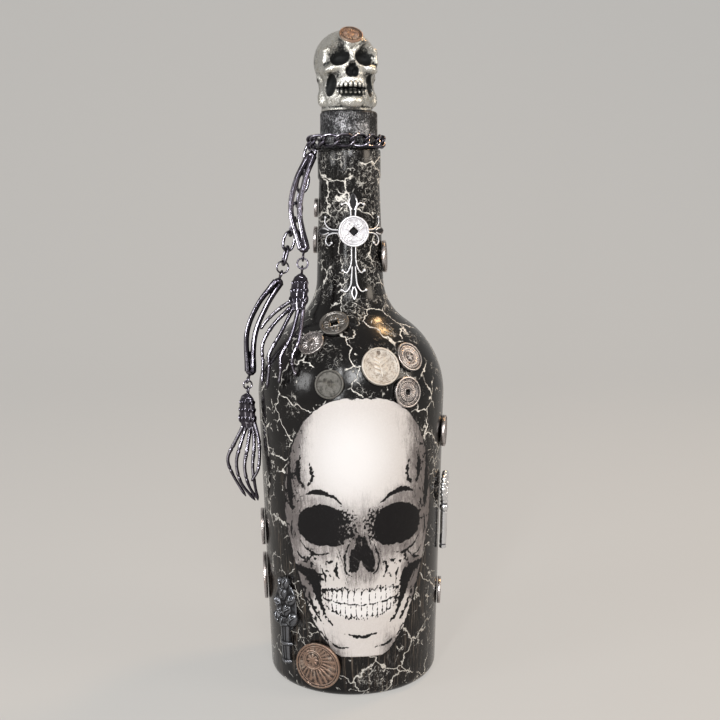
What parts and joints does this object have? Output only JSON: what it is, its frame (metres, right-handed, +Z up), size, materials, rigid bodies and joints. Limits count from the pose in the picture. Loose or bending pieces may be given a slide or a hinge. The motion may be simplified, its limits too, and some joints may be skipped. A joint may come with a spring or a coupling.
{
  "type": "decorative bottle",
  "caption": "Black crackle-painted glass bottle with a skull print, glued coins and charms, a skull on its screw cap and a neck chain with skeleton arms.",
  "frame": {"origin": "on the bottle's axis, at the flat face of its base", "axes": "+Z up along the bottle's axis, -Y towards the front with the skull print, +X to the right as seen from the front"},
  "size_m": [0.1154, 0.0966, 0.3273],
  "materials": {
    "crackle_painted_glass": "gloss black crackle paint with cream cracks, over glass",
    "dry_brushed_black": "matt black, dry brushed with silver",
    "liner_white": "plain white foam",
    "antique_silver": "cast metal, bright on the high places and black in the hollows",
    "copper_coin": "aged copper",
    "pasted_print": "printed paper under gloss varnish",
    "dark_silver": "darkened silver filigree",
    "dull_grey": "dull grey metal",
    "black_relief": "gloss black paint",
    "bright_silver": "polished silver",
    "coin_silver": "worn silver",
    "gunmetal": "dark polished nickel"
  },
  "bodies": {
    "bottle": {"glass_bottle": "crackle_painted_glass", "tamper_band": "dry_brushed_black", "copper_coin": "copper_coin", "front_print": "pasted_print", "neck_cross": "dark_silver", "shoulder_grey_disc": "dull_grey", "crest_charm": "black_relief", "key_charm": "bright_silver", "shoulder_coin_square_hole": "coin_silver", "shoulder_coin_behind_hand": "coin_silver", "shoulder_coin_large": "coin_silver", "shoulder_coin_upper_right": "coin_silver", "shoulder_coin_dark_hole": "coin_silver", "left_side_coin_upper": "coin_silver", "left_side_coin_lower": "coin_silver", "right_side_coin_upper": "coin_silver", "right_side_coin_lower": "coin_silver", "neck_coin_left_upper": "coin_silver", "neck_coin_left_lower": "coin_silver", "neck_coin_right": "coin_silver", "cross_coin": "coin_silver"},
    "closure_liner": {"cap_liner": "liner_white"},
    "cap": {"cap_shell": "dry_brushed_black", "stopper_skull": "antique_silver", "crown_coin": "copper_coin"},
    "neck_chain": {"neck_chain_link_01": "gunmetal", "neck_chain_link_02": "gunmetal", "neck_chain_link_03": "gunmetal", "neck_chain_link_04": "gunmetal", "neck_chain_link_05": "gunmetal", "neck_chain_link_06": "gunmetal", "neck_chain_link_07": "gunmetal", "neck_chain_link_08": "gunmetal", "neck_chain_link_09": "gunmetal", "neck_chain_link_10": "gunmetal", "neck_chain_link_11": "gunmetal", "neck_chain_link_12": "gunmetal", "neck_chain_link_13": "gunmetal", "neck_chain_link_14": "gunmetal", "neck_chain_link_15": "gunmetal"},
    "forearm_a": {"forearm_a": "gunmetal"},
    "wrist_ring_a": {"wrist_ring_a": "gunmetal"},
    "hand_a": {"hand_a": "gunmetal"},
    "strand_link_01": {"strand_link_01": "gunmetal"},
    "strand_link_02": {"strand_link_02": "gunmetal"},
    "strand_link_03": {"strand_link_03": "gunmetal"},
    "strand_link_04": {"strand_link_04": "gunmetal"},
    "strand_link_05": {"strand_link_05": "gunmetal"},
    "strand_link_06": {"strand_link_06": "gunmetal"},
    "strand_link_07": {"strand_link_07": "gunmetal"},
    "strand_link_08": {"strand_link_08": "gunmetal"},
    "elbow_ring_b": {"elbow_ring_b": "gunmetal"},
    "forearm_b": {"forearm_b": "gunmetal"},
    "wrist_ring_b": {"wrist_ring_b": "gunmetal"},
    "hand_b": {"hand_b": "gunmetal"}
  },
  "joints": [
    {"name": "cap_rise", "type": "slide", "parent": "bottle", "child": "closure_liner", "axis": [0, 0, 1], "range_m": [0, 0.0048]},
    {"name": "cap_turn", "type": "hinge", "parent": "closure_liner", "child": "cap", "pos_m": [0, 0, 0.285], "axis": [0, 0, 1], "range_deg": [0, 540]},
    {"name": "neck_chain_turn", "type": "hinge", "parent": "bottle", "child": "neck_chain", "pos_m": [0, 0, 0.2728], "axis": [0, 0, 1], "range_deg": [-40, 0]},
    {"name": "forearm_a_lift", "type": "hinge", "parent": "neck_chain", "child": "forearm_a", "pos_m": [-0.01836, -0.00486, 0.27016], "axis": [-0.2756, 0.9613, 0], "range_deg": [0, 50]},
    {"name": "wrist_ring_a_lift", "type": "hinge", "parent": "forearm_a", "child": "wrist_ring_a", "pos_m": [-0.0228, -0.02184, 0.21635], "axis": [-0.9674, 0.2531, 0], "range_deg": [0, 35]},
    {"name": "hand_a_lift", "type": "hinge", "parent": "wrist_ring_a", "child": "hand_a", "pos_m": [-0.02321, -0.02339, 0.2114], "axis": [-0.9674, 0.2531, 0], "range_deg": [0, 60]},
    {"name": "strand_link_01_lift", "type": "hinge", "parent": "neck_chain", "child": "strand_link_01", "pos_m": [-0.01887, 0.00246, 0.27016], "axis": [-0.309, 0.9511, 0], "range_deg": [0, 10]},
    {"name": "strand_link_02_lift", "type": "hinge", "parent": "strand_link_01", "child": "strand_link_02", "pos_m": [-0.02022, 0.00201, 0.26485], "axis": [-0.309, 0.9511, 0], "range_deg": [0, 10]},
    {"name": "strand_link_03_lift", "type": "hinge", "parent": "strand_link_02", "child": "strand_link_03", "pos_m": [-0.02256, 0.00126, 0.25567], "axis": [-0.309, 0.9511, 0], "range_deg": [0, 10]},
    {"name": "strand_link_04_lift", "type": "hinge", "parent": "strand_link_03", "child": "strand_link_04", "pos_m": [-0.02392, 0.00082, 0.25036], "axis": [-0.309, 0.9511, 0], "range_deg": [0, 10]},
    {"name": "strand_link_05_lift", "type": "hinge", "parent": "strand_link_04", "child": "strand_link_05", "pos_m": [-0.02626, 0.00006, 0.24118], "axis": [-0.309, 0.9511, 0], "range_deg": [0, 10]},
    {"name": "strand_link_06_lift", "type": "hinge", "parent": "strand_link_05", "child": "strand_link_06", "pos_m": [-0.02761, -0.00038, 0.23587], "axis": [-0.309, 0.9511, 0], "range_deg": [0, 10]},
    {"name": "strand_link_07_lift", "type": "hinge", "parent": "strand_link_06", "child": "strand_link_07", "pos_m": [-0.02995, -0.00114, 0.22669], "axis": [-0.309, 0.9511, 0], "range_deg": [0, 10]},
    {"name": "strand_link_08_lift", "type": "hinge", "parent": "strand_link_07", "child": "strand_link_08", "pos_m": [-0.0313, -0.00158, 0.22138], "axis": [-0.309, 0.9511, 0], "range_deg": [0, 10]},
    {"name": "elbow_ring_b_lift", "type": "hinge", "parent": "strand_link_08", "child": "elbow_ring_b", "pos_m": [-0.03364, -0.00234, 0.2122], "axis": [-0.309, 0.9511, 0], "range_deg": [0, 25]},
    {"name": "forearm_b_lift", "type": "hinge", "parent": "elbow_ring_b", "child": "forearm_b", "pos_m": [-0.03431, -0.00256, 0.20923], "axis": [-0.309, 0.9511, 0], "range_deg": [0, 40]},
    {"name": "wrist_ring_b_swing", "type": "hinge", "parent": "forearm_b", "child": "wrist_ring_b", "pos_m": [-0.05232, -0.00841, 0.15425], "axis": [-0.9511, -0.309, 0], "range_deg": [-20, 20]},
    {"name": "hand_b_lift", "type": "hinge", "parent": "wrist_ring_b", "child": "hand_b", "pos_m": [-0.05232, -0.00841, 0.1513], "axis": [-0.309, 0.9511, 0], "range_deg": [0, 60]}
  ],
  "couplings": [
    {"joint": "cap_turn", "follows": "cap_rise", "rad_per_m": 1963.5}
  ]
}
